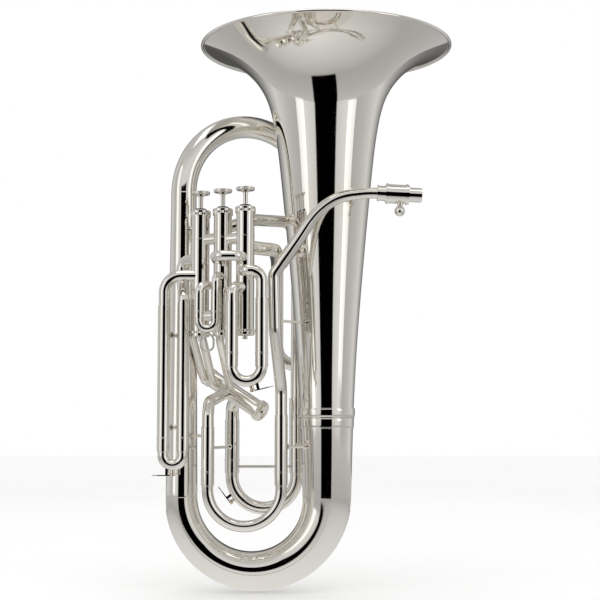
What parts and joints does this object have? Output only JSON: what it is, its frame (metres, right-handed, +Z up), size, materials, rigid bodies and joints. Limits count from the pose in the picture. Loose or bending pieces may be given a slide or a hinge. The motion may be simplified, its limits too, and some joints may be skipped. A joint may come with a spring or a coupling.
{
  "type": "tuba",
  "caption": "Upright compensating tuba in silver plate: flared bell, tapered bows, piston valves, pull-out tuning slides, water keys and mouthpiece receiver.",
  "frame": {"origin": "lowest point of the bottom bow, where the tuba rests", "axes": "+Z up along the bell, +X from the left branch to the bell, +Y to the back, away from the valve slides"},
  "size_m": [0.5031, 0.432, 0.9281],
  "materials": {
    "silver_plate": "polished silver plate on brass",
    "slide_silver": "polished silver plate, drawn tube",
    "valve_alloy": "ground nickel alloy",
    "spring_steel": "drawn wire",
    "felt": "pressed wool felt",
    "cork": "cork"
  },
  "bodies": {
    "horn": {"back_branch": "silver_plate", "bell": "silver_plate", "bell_ferrule": "silver_plate", "bottom_bow": "silver_plate", "bottom_caps": "silver_plate", "bow_guard": "silver_plate", "braces": "silver_plate", "branch_ferrules": "silver_plate", "cap_felts": "felt", "connecting_tubes": "silver_plate", "exit_bend": "silver_plate", "first_slide_sleeves": "silver_plate", "fourth_return_branch": "silver_plate", "fourth_slide_sleeves": "silver_plate", "fourth_valve_casing": "silver_plate", "fourth_valve_knuckles": "silver_plate", "leadpipe": "silver_plate", "left_branch": "silver_plate", "lower_mouthpipe": "silver_plate", "main_slide_sleeves": "silver_plate", "mouthpiece_receiver": "silver_plate", "second_slide_sleeves": "silver_plate", "spring_1": "spring_steel", "spring_2": "spring_steel", "spring_3": "spring_steel", "spring_4": "spring_steel", "third_slide_sleeves": "silver_plate", "top_bow": "silver_plate", "top_caps": "silver_plate", "valve_casings": "silver_plate", "valve_knuckles": "silver_plate"},
    "valve_1_action": {"piston_1": "valve_alloy", "stem_1": "silver_plate"},
    "valve_2_action": {"piston_2": "valve_alloy", "stem_2": "silver_plate"},
    "valve_3_action": {"piston_3": "valve_alloy", "stem_3": "silver_plate"},
    "valve_4_action": {"piston_4": "valve_alloy", "stem_4": "silver_plate"},
    "first_slide": {"first_slide_tubes": "slide_silver", "first_slide_bow": "silver_plate", "first_water_key_saddle": "silver_plate"},
    "second_slide": {"second_slide_tubes": "slide_silver", "second_slide_bow": "silver_plate", "pull_ring": "silver_plate"},
    "third_slide": {"third_slide_tubes": "slide_silver", "third_slide_bow": "silver_plate", "third_water_key_saddle": "silver_plate"},
    "main_slide": {"main_slide_tubes": "slide_silver", "main_slide_bow": "silver_plate"},
    "fourth_slide": {"fourth_slide_tubes": "slide_silver", "fourth_slide_bow": "silver_plate", "fourth_water_key_saddle": "silver_plate"},
    "first_key": {"first_water_key_lever": "silver_plate", "first_water_key_cork": "cork"},
    "third_key": {"third_water_key_lever": "silver_plate", "third_water_key_cork": "cork"},
    "fourth_key": {"fourth_water_key_lever": "silver_plate", "fourth_water_key_cork": "cork"},
    "clamp_screw": {"thumb_screw": "silver_plate"}
  },
  "joints": [
    {"name": "valve_1_press", "type": "slide", "parent": "horn", "child": "valve_1_action", "axis": [0, 0, -1], "range_m": [0, 0.019], "stiffness_N_per_m": 60, "springref_m": -0.06, "deforming": ["spring_1"]},
    {"name": "valve_2_press", "type": "slide", "parent": "horn", "child": "valve_2_action", "axis": [0, 0, -1], "range_m": [0, 0.019], "stiffness_N_per_m": 60, "springref_m": -0.06, "deforming": ["spring_2"]},
    {"name": "valve_3_press", "type": "slide", "parent": "horn", "child": "valve_3_action", "axis": [0, 0, -1], "range_m": [0, 0.019], "stiffness_N_per_m": 60, "springref_m": -0.06, "deforming": ["spring_3"]},
    {"name": "valve_4_press", "type": "slide", "parent": "horn", "child": "valve_4_action", "axis": [0.7261, -0.5, -0.472], "range_m": [0, 0.019], "stiffness_N_per_m": 60, "springref_m": -0.04, "deforming": ["spring_4"]},
    {"name": "first_slide_draw", "type": "slide", "parent": "horn", "child": "first_slide", "axis": [0, 0, -1], "range_m": [0, 0.05]},
    {"name": "second_slide_draw", "type": "slide", "parent": "horn", "child": "second_slide", "axis": [0, 0, -1], "range_m": [0, 0.014]},
    {"name": "third_slide_draw", "type": "slide", "parent": "horn", "child": "third_slide", "axis": [0, 0, -1], "range_m": [0, 0.06]},
    {"name": "main_slide_draw", "type": "slide", "parent": "horn", "child": "main_slide", "axis": [0, 0, -1], "range_m": [0, 0.045]},
    {"name": "fourth_slide_draw", "type": "slide", "parent": "horn", "child": "fourth_slide", "axis": [0, 0, -1], "range_m": [0, 0.04]},
    {"name": "first_key_open", "type": "hinge", "parent": "first_slide", "child": "first_key", "pos_m": [0.01039, -0.135, 0.33522], "axis": [0, -1, 0], "range_deg": [0, 16], "stiffness_Nm_per_rad": 0.02, "springref_deg": -28.65},
    {"name": "third_key_open", "type": "hinge", "parent": "third_slide", "child": "third_key", "pos_m": [-0.1405, -0.066, 0.1968], "axis": [0, 1, 0], "range_deg": [0, 16], "stiffness_Nm_per_rad": 0.02, "springref_deg": -28.65},
    {"name": "fourth_key_open", "type": "hinge", "parent": "fourth_slide", "child": "fourth_key", "pos_m": [-0.04669, 0.05, 0.15177], "axis": [0, 1, 0], "range_deg": [0, 16], "stiffness_Nm_per_rad": 0.02, "springref_deg": -28.65},
    {"name": "clamp_screw_turn", "type": "hinge", "parent": "horn", "child": "clamp_screw", "pos_m": [0.24195, -0.095, 0.65321], "axis": [-0.0523, 0, -0.9986], "continuous": true}
  ]
}
